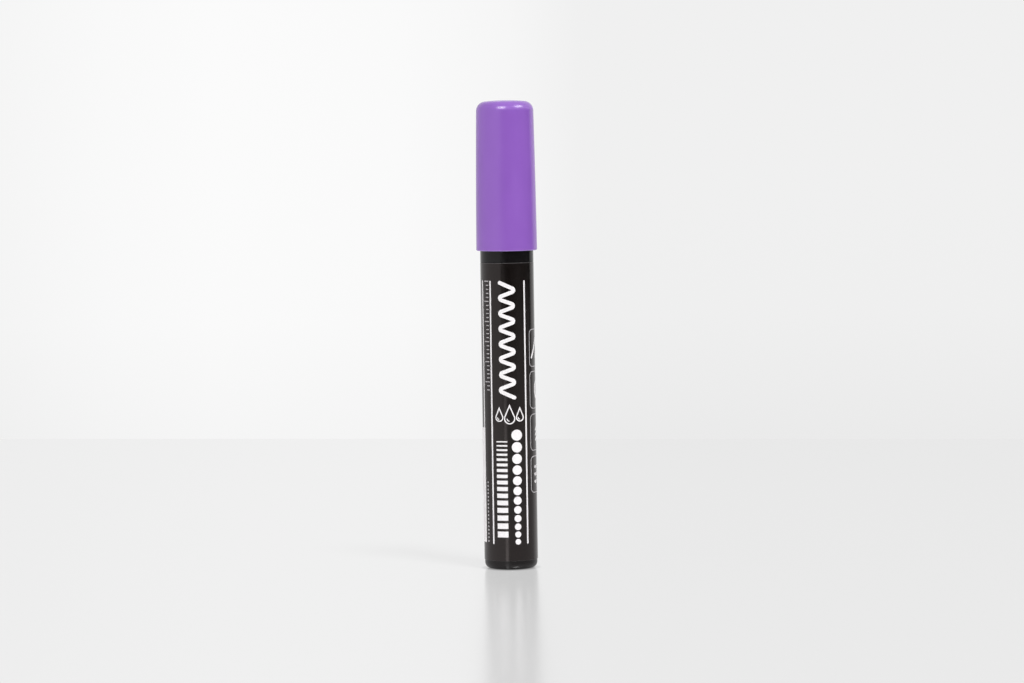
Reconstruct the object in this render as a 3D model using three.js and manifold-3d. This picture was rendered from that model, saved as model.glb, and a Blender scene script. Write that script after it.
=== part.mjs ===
// Acrylic paint pen: a push-on cap over a bullet nib, a sprung valve behind the nib,
// and two mixing balls loose in a one-piece barrel.
// Millimetres, +Z up, origin at the centre of the base. The pen stands upright with its cap on.

import * as THREE from "three";
import { mergeVertices } from "three/addons/utils/BufferGeometryUtils.js";
import Module from "manifold-3d";

// Facets: every coaxial piece has the same number, so that their flats line up
const facets = 32;
const cornerSteps = 5;
const capSideSteps = 4;

// Clearances
const contactGap = 0.05; // between faces that rest on one another
const seatGap = 0.3; // at seams, stops and loose pieces
const fitGap = 0.06; // on the radius, where one round piece plugs into or slides in another

// Barrel
const barrelLength = 91.75;
const barrelBaseRadius = 7.86;
const barrelTaper = 0.06; // how much smaller the mouth's radius is than the base's
const barrelWall = 1.0;
const barrelFloor = 1.6;
const baseCornerRadius = 1.85;
const floorCornerRadius = 1.2;
const baseRecessRadius = 3.4;
const baseRecessDepth = 0.4;

// Printed film round the barrel
const filmThickness = 0.12;
const filmBaseMargin = 0.9; // straight barrel left bare between the base corner and the film
const filmTopMargin = 0.05; // bare barrel above the film

// Front section: collar, plug into the barrel, neck and nose
const collarStep = 0.14; // the collar stands this much outside the barrel's mouth
const collarHeight = 6.6;
const collarShown = 3.45; // the part of the collar that the cap leaves bare
const collarEdge = 0.25;
const plugLength = 6.0;
const plugLead = 0.3; // bevel that leads the plug into the barrel
const plugRibHeight = 0.17;
const plugRibWidth = 0.8;
const plugWall = 1.3;
const webDepth = 1.8; // from the collar's top down to the web that carries the valve
const webThickness = 1.2;
const neckInset = 2.86; // from the collar's side in to the neck's
const neckLength = 10;
const neckWall = 1.0;
const sealBeadHeight = 0.2;
const sealBeadWidth = 1.6;
const sealBeadRise = 5.5; // from the collar's top to the middle of the bead
const noseWall = 1.04;
const noseEdge = 0.4;
const noseShoulder = 1.0; // from the neck's end up to the roof of the sponge chamber

// Nib
const nibRadius = 2.5;
const nibShown = 7.0; // the part of the nib in front of the nose
const nibBulletLength = 4.0;
const nibRearEdge = 0.4;
const nibTravel = 2.0;
const nibRearClearance = 0.4; // left between the pressed nib and the web

// Valve
const pinRadius = 1.4;
const flowGap = 0.6; // round the pin, where the paint passes
const sealThickness = 1.2;
const flangeRadius = 3.1;
const flangeThickness = 1.0;
const valveEdge = 0.3; // bevel on the stem and the cage
const tailRadius = 1.2;
const tailShown = 0.7; // the part of the tail below the cage
const cageWall = 0.9;
const cageFloor = 1.5;
const cageDrop = 6.9; // how far the cage hangs below the plug
const windowWidth = 3.4;
const windowSill = 0.8;
const windowHead = 0.4;
const springWire = 0.5; // diameter
const springRadius = 2.1; // to the middle of the wire
const springTurns = 7;

// Mixing balls
const ballRadius = 2.75;
const ballSpacing = 0.5; // between the two balls

// Cap
const capLength = 44.75;
const capClearance = 0.08; // on the radius, over the collar
const capRimWall = 1.08;
const capTaper = 0.54; // how much smaller the crown's radius is than the rim's
const capBow = 0.06; // how far the side bows out between them
const capWall = 1.5;
const capRoof = 1.5;
const crownRadius = 2.9; // of the rounded edge at the top
const crownRise = 0.3;
const capRimEdge = 0.35;
const capInnerCorner = 1.4;

// Inner cap
const linerWall = 1.0;
const linerFlange = 1.2;
const linerRoof = 1.0;
const linerCorner = 1.0; // rounding at the roof, inside and out
const linerPostHeight = 4.2;
const linerPostRadius = 2.5;
const linerMouthEdge = 0.4;
const linerChamberRadius = 4.3;
const linerConeLength = 7.7;
const tipSpace = 6.5; // air space in front of the nib

// Heights, stacked from the base up to the crown
const collarBase = barrelLength + contactGap;
const collarTop = collarBase + collarHeight;
const plugEnd = collarBase - plugLength;
const capRim = collarBase + collarShown;
const capTop = capRim + capLength;
const capCeiling = capTop - crownRise - capRoof;
const linerBase = collarTop + seatGap;
const linerTop = capCeiling - seatGap;
const linerCeiling = linerTop - linerPostHeight - linerRoof;
const nibTip = linerCeiling - tipSpace;
const noseTip = nibTip - nibShown;
const neckTop = collarTop + neckLength;
const webTop = collarTop - webDepth;
const webUnderside = webTop - webThickness;
const chamberRoof = neckTop + noseShoulder;
const nibRear = webTop + nibTravel + nibRearClearance;
const sealTop = webUnderside - contactGap;
const cageTop = sealTop - sealThickness - contactGap;
const flangeTop = cageTop;
const cageBase = plugEnd - cageDrop;
const tailEnd = cageBase - tailShown;
const springSeat = cageBase + cageFloor + contactGap;

// Radii, from the barrel's mouth inwards
const barrelMouthRadius = barrelBaseRadius - barrelTaper;
const collarRadius = barrelMouthRadius + collarStep;
const plugRibRadius = barrelMouthRadius - barrelWall - fitGap;
const plugRadius = plugRibRadius - plugRibHeight;
const plugBore = plugRadius - plugWall;
const cageRadius = plugBore - fitGap;
const valveHole = pinRadius + flowGap;
const neckRadius = collarRadius - neckInset;
const sealBeadRadius = neckRadius + sealBeadHeight;
const chamberRadius = neckRadius - neckWall;
const nibBore = nibRadius + fitGap;
const noseTipRadius = nibBore + noseWall;
const capBore = collarRadius + capClearance;
const capRimRadius = capBore + capRimWall;
const capCrownRadius = capRimRadius - capTaper;
const domeRadius = capCrownRadius - crownRadius;
const domeTilt = Math.atan((2 * crownRise) / domeRadius); // slope at the dome's edge
const capStraight = capLength - crownRise - crownRadius * Math.cos(domeTilt);
const linerBore = sealBeadRadius + fitGap;

// Outline helpers: an outline is a list of [radius, height] points

function arc(centreRadius, centreHeight, radius, startDegrees, endDegrees, steps = cornerSteps) {
  const points = [];
  for (let step = 0; step <= steps; step += 1) {
    const angle = THREE.MathUtils.degToRad(startDegrees + ((endDegrees - startDegrees) * step) / steps);
    points.push([centreRadius + radius * Math.cos(angle), centreHeight + radius * Math.sin(angle)]);
  }
  return points;
}

// A shallow dome from its edge up to its middle, without the edge point
function dome(edgeRadius, edgeHeight, rise) {
  return [
    [edgeRadius / 2, edgeHeight + (rise * 3) / 4],
    [0, edgeHeight + rise],
  ];
}

function revolve(outline, steps = facets) {
  const points = outline.map(([radius, height]) => new THREE.Vector2(radius, height));
  return new THREE.LatheGeometry(points, steps).rotateX(Math.PI / 2);
}

function revolveRing(outline, steps = facets) {
  return revolve([...outline, outline[0]], steps);
}

function ring(innerRadius, outerRadius, height) {
  return revolveRing([[innerRadius, 0], [outerRadius, 0], [outerRadius, height], [innerRadius, height]]);
}

// Solid helpers: manifold-3d cuts one closed mesh out of another

const wasm = await Module();
wasm.setup();

function toSolid(geometry) {
  const bare = geometry.clone();
  bare.deleteAttribute("normal");
  bare.deleteAttribute("uv");
  const merged = mergeVertices(bare, 1e-5);
  return new wasm.Manifold(
    new wasm.Mesh({
      numProp: 3,
      vertProperties: new Float32Array(merged.attributes.position.array),
      triVerts: new Uint32Array(merged.index.array),
    }),
  );
}

function toGeometry(solid) {
  const mesh = solid.getMesh();
  const geometry = new THREE.BufferGeometry();
  geometry.setAttribute("position", new THREE.BufferAttribute(mesh.vertProperties, 3));
  geometry.setIndex(new THREE.BufferAttribute(mesh.triVerts, 1));
  geometry.computeVertexNormals();
  return geometry;
}

// Materials

function purplePlastic() {
  return new THREE.MeshStandardMaterial({ color: 0x9161c1, roughness: 0.32, metalness: 0 });
}

function blackPlastic() {
  return new THREE.MeshStandardMaterial({ color: 0x17151a, roughness: 0.38, metalness: 0 });
}

function blackFilm() {
  return new THREE.MeshStandardMaterial({ color: 0x1a1717, roughness: 0.3, metalness: 0 });
}

function naturalPlastic() {
  return new THREE.MeshStandardMaterial({ color: 0xe8e6df, roughness: 0.45, metalness: 0 });
}

function whiteLinerPlastic() {
  return new THREE.MeshStandardMaterial({ color: 0xf0efec, roughness: 0.4, metalness: 0 });
}

function nibFibre() {
  return new THREE.MeshStandardMaterial({ color: 0xf2efe6, roughness: 0.9, metalness: 0 });
}

function spongeFoam() {
  return new THREE.MeshStandardMaterial({ color: 0xe9e4d6, roughness: 0.95, metalness: 0 });
}

function sealRubber() {
  return new THREE.MeshStandardMaterial({ color: 0x2b2b2d, roughness: 0.7, metalness: 0 });
}

function springSteel() {
  return new THREE.MeshStandardMaterial({ color: 0xb9bcc0, roughness: 0.3, metalness: 1 });
}

function ballSteel() {
  return new THREE.MeshStandardMaterial({ color: 0xc9ccd0, roughness: 0.12, metalness: 1 });
}

// Barrel: a closed bottle with a slight taper and a shallow recess under its base

function barrelRadiusAt(height) {
  const share = (height - baseCornerRadius) / (barrelLength - baseCornerRadius);
  return barrelBaseRadius - barrelTaper * share;
}

function barrelGeometry() {
  const floorCornerHeight = barrelFloor + floorCornerRadius;
  const innerBaseRadius = barrelRadiusAt(floorCornerHeight) - barrelWall;
  return revolve([
    [0, baseRecessDepth],
    [baseRecessRadius - baseRecessDepth, baseRecessDepth],
    [baseRecessRadius, 0],
    ...arc(barrelBaseRadius - baseCornerRadius, baseCornerRadius, baseCornerRadius, -90, 0),
    [barrelMouthRadius, barrelLength],
    [barrelMouthRadius - barrelWall, barrelLength],
    ...arc(innerBaseRadius - floorCornerRadius, floorCornerHeight, floorCornerRadius, 0, -90),
    [0, barrelFloor],
  ]);
}

// Film: follows the barrel's side from just above the base corner to just under the collar

function filmGeometry() {
  const filmBase = baseCornerRadius + filmBaseMargin;
  const filmTop = barrelLength - filmTopMargin;
  const baseRadius = barrelRadiusAt(filmBase) + contactGap;
  const topRadius = barrelRadiusAt(filmTop) + contactGap;
  return revolveRing([
    [baseRadius, filmBase],
    [baseRadius + filmThickness, filmBase],
    [topRadius + filmThickness, filmTop],
    [topRadius, filmTop],
  ]);
}

// Front section: heights here are above the underside of its collar

function plugRib(middle) {
  return [
    [plugRadius, middle - plugRibWidth / 2],
    [plugRibRadius, middle - plugRibWidth / 4],
    [plugRibRadius, middle + plugRibWidth / 4],
    [plugRadius, middle + plugRibWidth / 2],
  ];
}

function frontSectionGeometry() {
  const neckStart = collarHeight;
  const beadMiddle = neckStart + sealBeadRise;
  const neckEnd = neckTop - collarBase;
  const noseEnd = noseTip - collarBase;
  const roof = chamberRoof - collarBase;
  const web = webTop - collarBase;
  return revolveRing([
    [plugBore, -plugLength],
    [plugRadius - plugLead, -plugLength],
    [plugRadius, plugLead - plugLength],
    ...plugRib((-2 * plugLength) / 3),
    ...plugRib(-plugLength / 3),
    [plugRadius, 0],
    [collarRadius, 0],
    [collarRadius, collarHeight - collarEdge],
    [collarRadius - collarEdge, collarHeight],
    [neckRadius, neckStart],
    [neckRadius, beadMiddle - sealBeadWidth / 2],
    [sealBeadRadius, beadMiddle - sealBeadWidth / 4],
    [sealBeadRadius, beadMiddle + sealBeadWidth / 4],
    [neckRadius, beadMiddle + sealBeadWidth / 2],
    [neckRadius, neckEnd],
    [noseTipRadius, noseEnd - noseEdge],
    [noseTipRadius - noseEdge, noseEnd],
    [nibBore, noseEnd],
    [nibBore, roof],
    [chamberRadius, roof],
    [chamberRadius, web],
    [valveHole, web],
    [valveHole, web - webThickness],
    [plugBore, web - webThickness],
  ]);
}

// Nib: heights here are above its rear end

function nibGeometry() {
  const length = nibTip - nibRear;
  const shoulder = length - nibBulletLength;
  const bullet = [];
  for (let step = 0; step <= cornerSteps + 1; step += 1) {
    const angle = (Math.PI / 2) * (step / (cornerSteps + 1));
    bullet.push([nibRadius * Math.cos(angle), shoulder + nibBulletLength * Math.sin(angle)]);
  }
  bullet[bullet.length - 1][0] = 0;
  return revolve([[0, 0], [nibRadius - nibRearEdge, 0], [nibRadius, nibRearEdge], ...bullet]);
}

// Sponge ring: fills the chamber round the nib, standing on the web

function spongeGeometry() {
  const length = chamberRoof - webTop - 2 * seatGap;
  return ring(nibBore, chamberRadius - contactGap, length);
}

// Valve stem: heights here are above the top of its flange, which closes against the seal

function stemGeometry() {
  const pinTop = nibRear - contactGap - flangeTop;
  const tailBottom = tailEnd - flangeTop;
  return revolve([
    [0, tailBottom],
    [tailRadius - valveEdge, tailBottom],
    [tailRadius, tailBottom + valveEdge],
    [tailRadius, -flangeThickness],
    [flangeRadius - valveEdge, -flangeThickness],
    [flangeRadius, valveEdge - flangeThickness],
    [flangeRadius, 0],
    [pinRadius, 0],
    [pinRadius, pinTop - valveEdge],
    [pinRadius - valveEdge, pinTop],
    [0, pinTop],
  ]);
}

// Valve cage: a cup with four windows, heights above the underside of its floor

function cageGeometry() {
  const height = cageTop - cageBase;
  const windowBase = cageFloor + windowSill;
  const windowHeight = plugEnd - windowHead - cageBase - windowBase;
  const cup = revolveRing([
    [tailRadius + fitGap, 0],
    [cageRadius - valveEdge, 0],
    [cageRadius, valveEdge],
    [cageRadius, height],
    [cageRadius - cageWall, height],
    [cageRadius - cageWall, cageFloor],
    [tailRadius + fitGap, cageFloor],
  ]);
  const slot = new THREE.BoxGeometry(windowWidth, 3 * cageRadius, windowHeight);
  slot.translate(0, 0, windowBase + windowHeight / 2);
  const crossSlot = slot.clone().rotateZ(Math.PI / 2);
  return toGeometry(toSolid(cup).subtract(toSolid(slot)).subtract(toSolid(crossSlot)));
}

// Spring: one unbroken helix of round wire

class Helix extends THREE.Curve {
  constructor(radius, length, turns) {
    super();
    this.radius = radius;
    this.length = length;
    this.turns = turns;
  }

  getPoint(share, target = new THREE.Vector3()) {
    const angle = 2 * Math.PI * this.turns * share;
    return target.set(this.radius * Math.cos(angle), this.radius * Math.sin(angle), this.length * share);
  }
}

function springGeometry() {
  const wireSides = 6;
  const stepsPerTurn = 10;
  const length = flangeTop - flangeThickness - contactGap - springSeat;
  const wire = new THREE.Shape();
  for (let side = 0; side < wireSides; side += 1) {
    const angle = (2 * Math.PI * side) / wireSides;
    const point = [(springWire / 2) * Math.cos(angle), (springWire / 2) * Math.sin(angle)];
    if (side === 0) {
      wire.moveTo(...point);
    } else {
      wire.lineTo(...point);
    }
  }
  const path = new Helix(springRadius, length - springWire, springTurns);
  const geometry = new THREE.ExtrudeGeometry(wire, {
    steps: springTurns * stepsPerTurn,
    extrudePath: path,
    bevelEnabled: false,
  });
  return geometry.translate(0, 0, springWire / 2);
}

// Mixing ball

function ballGeometry() {
  const rings = 10;
  const outline = arc(0, 0, ballRadius, -90, 90, rings);
  outline[0][0] = 0;
  outline[rings][0] = 0;
  return revolve(outline, 2 * rings);
}

// Cap shell: heights here are above its rim

function capOuterRadiusAt(height) {
  const share = height / capStraight;
  return capRimRadius - capTaper * share + 4 * capBow * share * (1 - share);
}

function capInnerRadiusAt(height) {
  return capOuterRadiusAt(height) - capWall;
}

function capSide() {
  const points = [];
  for (let step = 1; step < capSideSteps; step += 1) {
    const height = (capStraight * step) / capSideSteps;
    points.push([capOuterRadiusAt(height), height]);
  }
  return points;
}

function capShellGeometry() {
  const ceiling = capCeiling - capRim;
  const shoulder = linerBase - capRim;
  const crownTurn = 90 - THREE.MathUtils.radToDeg(domeTilt);
  const domeEdge = domeRadius + crownRadius * Math.sin(domeTilt);
  const ceilingCorner = ceiling - capInnerCorner;
  const ceilingRadius = capInnerRadiusAt(ceilingCorner);
  const outline = [
    [0, ceiling],
    ...arc(ceilingRadius - capInnerCorner, ceilingCorner, capInnerCorner, 90, 0),
    [capInnerRadiusAt(shoulder), shoulder],
    [capBore, shoulder],
    [capBore, capRimEdge],
    [capBore + capRimEdge, 0],
    [capRimRadius - capRimEdge, 0],
    [capRimRadius, capRimEdge],
    ...capSide(),
    ...arc(domeRadius, capStraight, crownRadius, 0, crownTurn, 2 * cornerSteps),
    ...dome(domeEdge, capLength - crownRise, crownRise),
  ];
  return revolve(outline);
}

// Inner cap: heights here are above the underside of its flange

function capLinerGeometry() {
  const boreEnd = neckTop + seatGap - linerBase;
  const coneEnd = boreEnd + linerConeLength;
  const ceiling = linerCeiling - linerBase;
  const roof = ceiling + linerRoof;
  const top = linerTop - linerBase;
  const flangeOuter = capInnerRadiusAt(linerBase + linerFlange - capRim) - fitGap;
  const chamberOuter = linerChamberRadius + linerWall;
  return revolve([
    [0, ceiling],
    ...arc(linerChamberRadius - linerCorner, ceiling - linerCorner, linerCorner, 90, 0),
    [linerChamberRadius, coneEnd],
    [linerBore, boreEnd],
    [linerBore, linerMouthEdge],
    [linerBore + linerMouthEdge, 0],
    [flangeOuter, 0],
    [flangeOuter, linerFlange],
    [linerBore + linerWall, linerFlange],
    [linerBore + linerWall, boreEnd + linerWall],
    [chamberOuter, coneEnd + linerWall],
    ...arc(chamberOuter - linerCorner, roof - linerCorner, linerCorner, 0, 90),
    [linerPostRadius, roof],
    [linerPostRadius, top],
    [0, top],
  ]);
}

// Assembly

function piece(name, geometry, material, height) {
  const mesh = new THREE.Mesh(geometry, material);
  mesh.name = name;
  mesh.position.z = height;
  return mesh;
}

function barrelAssembly() {
  const group = new THREE.Group();
  group.add(piece("barrel", barrelGeometry(), blackPlastic(), 0));
  group.add(piece("label_sleeve", filmGeometry(), blackFilm(), 0));
  for (const side of [-1, 1]) {
    const name = side < 0 ? "mixing_ball_1" : "mixing_ball_2";
    const ball = piece(name, ballGeometry(), ballSteel(), barrelFloor + seatGap + ballRadius);
    ball.position.x = side * (ballRadius + ballSpacing / 2);
    group.add(ball);
  }
  return group;
}

function writingAssembly() {
  const group = new THREE.Group();
  group.add(piece("front_section", frontSectionGeometry(), blackPlastic(), collarBase));
  group.add(piece("nib", nibGeometry(), nibFibre(), nibRear));
  group.add(piece("overflow_sponge", spongeGeometry(), spongeFoam(), webTop + seatGap));
  return group;
}

function valveAssembly() {
  const group = new THREE.Group();
  const sealRadius = plugBore - fitGap;
  group.add(
    piece("valve_seal", ring(valveHole, sealRadius, sealThickness), sealRubber(), sealTop - sealThickness),
  );
  group.add(piece("valve_stem", stemGeometry(), naturalPlastic(), flangeTop));
  group.add(piece("valve_spring", springGeometry(), springSteel(), springSeat));
  group.add(piece("valve_cage", cageGeometry(), naturalPlastic(), cageBase));
  return group;
}

function capAssembly() {
  const group = new THREE.Group();
  group.add(piece("cap_shell", capShellGeometry(), purplePlastic(), capRim));
  group.add(piece("cap_liner", capLinerGeometry(), whiteLinerPlastic(), linerBase));
  return group;
}

const pen = new THREE.Group();
pen.add(barrelAssembly(), writingAssembly(), valveAssembly(), capAssembly());

export default pen;
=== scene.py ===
"""Acrylic paint pen, standing on its base with its push-on cap on.

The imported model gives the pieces' places. This script makes their fine surfaces, the print on
the film, the materials and a small pale studio. Outlines are in millimetres and Blender's
objects in metres, all in the model's own frame.
"""

import math

import bmesh
import bpy
from mathutils import Matrix, Vector


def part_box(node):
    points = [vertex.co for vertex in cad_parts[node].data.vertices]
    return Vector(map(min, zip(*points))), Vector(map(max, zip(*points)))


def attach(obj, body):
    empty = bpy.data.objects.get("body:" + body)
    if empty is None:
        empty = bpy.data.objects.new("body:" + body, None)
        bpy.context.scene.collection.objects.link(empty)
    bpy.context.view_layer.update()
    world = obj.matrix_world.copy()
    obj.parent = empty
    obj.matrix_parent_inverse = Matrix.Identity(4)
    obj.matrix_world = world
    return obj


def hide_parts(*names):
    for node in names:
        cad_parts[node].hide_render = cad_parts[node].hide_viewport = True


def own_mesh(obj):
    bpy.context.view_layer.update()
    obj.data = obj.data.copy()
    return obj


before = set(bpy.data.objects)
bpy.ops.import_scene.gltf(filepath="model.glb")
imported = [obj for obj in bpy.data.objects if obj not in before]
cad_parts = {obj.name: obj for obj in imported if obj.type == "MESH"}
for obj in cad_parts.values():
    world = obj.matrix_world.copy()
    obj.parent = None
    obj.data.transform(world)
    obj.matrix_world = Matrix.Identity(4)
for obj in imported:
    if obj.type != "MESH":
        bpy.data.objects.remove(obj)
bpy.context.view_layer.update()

MM = 0.001
SEGMENTS = 256

# Places that the model gives, in millimetres


def cad_box(node):
    low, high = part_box(node)
    return low / MM, high / MM


cap_low, cap_high = cad_box("cap_shell")
liner_low, liner_high = cad_box("cap_liner")
front_low, front_high = cad_box("front_section")
_, barrel_high = cad_box("barrel")
film_low, film_high = cad_box("label_sleeve")
nib_low, nib_high = cad_box("nib")
spring_low, spring_high = cad_box("valve_spring")

# Barrel and film
MOUTH_STEP = 0.14  # from the collar's side in to the barrel's mouth
BARREL_WALL = 1.0
BARREL_FLOOR = 1.6
BARREL_FLOOR_CORNER = 1.2
BARREL_RIM_EDGE = 0.12
BASE_CORNER = 1.85
BASE_RECESS_RADIUS = 3.4
BASE_RECESS_DEPTH = 0.4
FILM_GAP = 0.05
FILM_THICKNESS = 0.12
FILM_EDGE = 0.04
OVERLAP_MIDDLE = -129  # degrees round the film, between the panel and the back rules
OVERLAP_WIDTH = 1.3

# Front section
COLLAR_HEIGHT = 6.6
COLLAR_EDGE = 0.25
PLUG_LENGTH = 6.0
PLUG_RADIUS = 6.57
PLUG_RIB_HEIGHT = 0.17
PLUG_RIB_WIDTH = 0.8
PLUG_BORE = 5.27
WEB_DEPTH = 1.8
WEB_THICKNESS = 1.2
NECK_RADIUS = 5.08
NECK_LENGTH = 10.0
BEAD_HEIGHT = 0.2
BEAD_WIDTH = 1.6
BEAD_RISE = 5.5
CHAMBER_RADIUS = 4.08
CHAMBER_RISE = 1.0
VALVE_HOLE = 2.0
NIB_BORE = 2.56
NOSE_TIP_RADIUS = 3.6
NOSE_EDGE = 0.4

# Nib
NIB_BULLET_LENGTH = 4.0
NIB_REAR_EDGE = 0.4

# Cap and inner cap
CAP_BORE_GAP = 0.08  # over the collar
CAP_TAPER = 0.54
CAP_BOW = 0.06
CAP_WALL = 1.5
CAP_ROOF = 1.5
CAP_INNER_CORNER = 1.4
CAP_RIM_EDGE = 0.35
CROWN_RADIUS = 2.9
CROWN_RISE = 0.3
GATE_RADIUS = 0.7
GATE_DEPTH = 0.06
LINER_BORE = 5.34
LINER_WALL = 1.0
LINER_FLANGE = 1.2
LINER_BORE_LENGTH = 10.0
LINER_CONE_LENGTH = 7.7
LINER_CHAMBER_RADIUS = 4.3
LINER_CORNER = 1.0
LINER_MOUTH_EDGE = 0.4
LINER_POST_RADIUS = 2.5
LINER_POST_HEIGHT = 4.2
LINER_ROOF = 1.0

# Spring and balls
SPRING_WIRE = 0.5
SPRING_TURNS = 7
BALL_RADIUS = 2.75

# Painted highlights, paler edges that stand for light caught on them: how far in from the end of the piece
# they begin, and are at their palest
CAP_RIM_HIGHLIGHT = (0.32, 0.18)
FILM_TOP_HIGHLIGHT = (0.11, 0.09)
FILM_BOTTOM_HIGHLIGHT = (0.07, 0.05)


# Outlines: lists of (radius, height) points


def arc(centre_radius, centre_height, radius, start, end, steps=16):
    """Points on an arc, its angles in degrees from the outward direction."""
    points = []
    for step in range(steps + 1):
        angle = math.radians(start + (end - start) * step / steps)
        points.append((centre_radius + radius * math.cos(angle), centre_height + radius * math.sin(angle)))
    return points


def rounded(corners, closed=False, steps=6):
    """Turns (across, up, rounding) corners into points, with an arc at each corner that has a rounding."""
    points = []
    last = len(corners) - 1
    for index, (across, up, rounding) in enumerate(corners):
        here = Vector((across, up))
        if rounding == 0 or (not closed and index in (0, last)):
            points.append(tuple(here))
            continue
        before = (Vector(corners[index - 1][:2]) - here).normalized()
        after = (Vector(corners[(index + 1) % len(corners)][:2]) - here).normalized()
        half = before.angle(after) / 2
        centre = here + (before + after).normalized() * (rounding / math.sin(half))
        start = here + before * (rounding / math.tan(half)) - centre
        end = here + after * (rounding / math.tan(half)) - centre
        turn = math.pi - 2 * half
        for step in range(steps + 1):
            share = step / steps
            swing = start * math.sin((1 - share) * turn) + end * math.sin(share * turn)
            points.append(tuple(centre + swing / math.sin(turn)))
    return points


# Meshes


def add_object(name, mesh, sharp_degrees=35):
    """Links a smooth-shaded object whose edges over that angle stay sharp."""
    mesh.shade_smooth()
    mesh.set_sharp_from_angle(angle=math.radians(sharp_degrees))
    piece = bpy.data.objects.new(name, mesh)
    bpy.context.scene.collection.objects.link(piece)
    weighted = piece.modifiers.new("Weighted normals", "WEIGHTED_NORMAL")
    weighted.keep_sharp = True
    return piece


def bmesh_object(name, shape, sharp_degrees=35):
    bmesh.ops.recalc_face_normals(shape, faces=shape.faces)
    mesh = bpy.data.meshes.new(name)
    shape.to_mesh(mesh)
    shape.free()
    return add_object(name, mesh, sharp_degrees)


def join_rings(shape, lower, upper):
    """Fills the band between two rings of points, either of which may be a single point."""
    count = max(len(lower), len(upper))
    for index in range(count):
        following = (index + 1) % count
        corners = [lower[index % len(lower)], lower[following % len(lower)]]
        corners += [upper[following % len(upper)], upper[index % len(upper)]]
        kept = [corner for place, corner in enumerate(corners) if corner not in corners[:place]]
        if len(kept) > 2:
            shape.faces.new(kept)


def lathe(name, outline, closed=False, segments=SEGMENTS, centre=(0, 0)):
    """Turns an outline into a solid round the pen's axis, or round a line parallel to it."""
    shape = bmesh.new()
    rings = []
    for radius, height in outline:
        ring = []
        for index in range(segments if radius > 1e-6 else 1):
            angle = 2 * math.pi * index / segments
            across = centre[0] + radius * math.sin(angle)
            along = centre[1] - radius * math.cos(angle)
            ring.append(shape.verts.new((across * MM, along * MM, height * MM)))
        rings.append(ring)
    pairs = list(zip(rings, rings[1:]))
    if closed:
        pairs.append((rings[-1], rings[0]))
    for lower, upper in pairs:
        join_rings(shape, lower, upper)
    return bmesh_object(name, shape)


# Materials


def srgb(red, green, blue):
    """A colour in 0 to 255 steps as Blender's linear colour."""
    linear = []
    for value in (red, green, blue):
        share = value / 255
        linear.append(share / 12.92 if share <= 0.04045 else ((share + 0.055) / 1.055) ** 2.4)
    return (*linear, 1)


class Finish:
    """A procedural material: one Principled shader, and textures in millimetres on the object."""

    def __init__(self, name, **settings):
        self.material = bpy.data.materials.new(name)
        self.material.use_nodes = True
        tree = self.material.node_tree
        self.nodes = tree.nodes
        self.link = tree.links.new
        self.shader = self.nodes["Principled BSDF"]
        self.place = self.nodes.new("ShaderNodeTexCoord").outputs["Object"]
        self.normal = None
        for socket, value in settings.items():
            self.shader.inputs[socket.replace("_", " ")].default_value = value

    def stretched(self, stretch):
        mapping = self.nodes.new("ShaderNodeMapping")
        mapping.inputs["Scale"].default_value = stretch
        self.link(self.place, mapping.inputs["Vector"])
        return mapping.outputs["Vector"]

    def noise(self, size, detail=3, stretch=(1, 1, 1)):
        """A soft random field whose patches are about that many millimetres across."""
        texture = self.nodes.new("ShaderNodeTexNoise")
        texture.inputs["Scale"].default_value = 1 / (size * MM)
        texture.inputs["Detail"].default_value = detail
        self.link(self.stretched(stretch), texture.inputs["Vector"])
        return texture.outputs["Fac"]

    def cells(self, size, stretch=(1, 1, 1)):
        """Distance from the middle of random cells of about that size."""
        texture = self.nodes.new("ShaderNodeTexVoronoi")
        texture.inputs["Scale"].default_value = 1 / (size * MM)
        self.link(self.stretched(stretch), texture.inputs["Vector"])
        return texture.outputs["Distance"]

    def color(self, field, low_color, high_color, low=0.35, high=0.65):
        ramp = self.nodes.new("ShaderNodeValToRGB")
        ramp.color_ramp.elements[0].position = low
        ramp.color_ramp.elements[0].color = low_color
        ramp.color_ramp.elements[1].position = high
        ramp.color_ramp.elements[1].color = high_color
        self.link(field, ramp.inputs["Fac"])
        self.link(ramp.outputs["Color"], self.shader.inputs["Base Color"])
        return self

    def fade(self, start, end, color):
        """Turns the colour so far into another one between two heights, in millimetres."""
        split = self.nodes.new("ShaderNodeSeparateXYZ")
        self.link(self.place, split.inputs["Vector"])
        share = self.nodes.new("ShaderNodeMapRange")
        share.inputs["From Min"].default_value = start * MM
        share.inputs["From Max"].default_value = end * MM
        self.link(split.outputs["Z"], share.inputs["Value"])
        mix = self.nodes.new("ShaderNodeMixRGB")
        mix.inputs["Color2"].default_value = color
        self.link(share.outputs["Result"], mix.inputs["Fac"])
        self.link(self.shader.inputs["Base Color"].links[0].from_socket, mix.inputs["Color1"])
        self.link(mix.outputs["Color"], self.shader.inputs["Base Color"])
        return self

    def roughness(self, field, low, high):
        """Roughness from low to high over the middle of a noise field, from 0.3 to 0.7."""
        spread = self.nodes.new("ShaderNodeMapRange")
        spread.inputs["From Min"].default_value = 0.3
        spread.inputs["From Max"].default_value = 0.7
        spread.inputs["To Min"].default_value = low
        spread.inputs["To Max"].default_value = high
        self.link(field, spread.inputs["Value"])
        self.link(spread.outputs["Result"], self.shader.inputs["Roughness"])
        return self

    def bump(self, field, height):
        """Relief of that many millimetres, on top of any relief so far."""
        relief = self.nodes.new("ShaderNodeBump")
        relief.inputs["Distance"].default_value = height * MM
        self.link(field, relief.inputs["Height"])
        if self.normal:
            self.link(self.normal, relief.inputs["Normal"])
        self.normal = relief.outputs["Normal"]
        self.link(self.normal, self.shader.inputs["Normal"])
        return self


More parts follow.
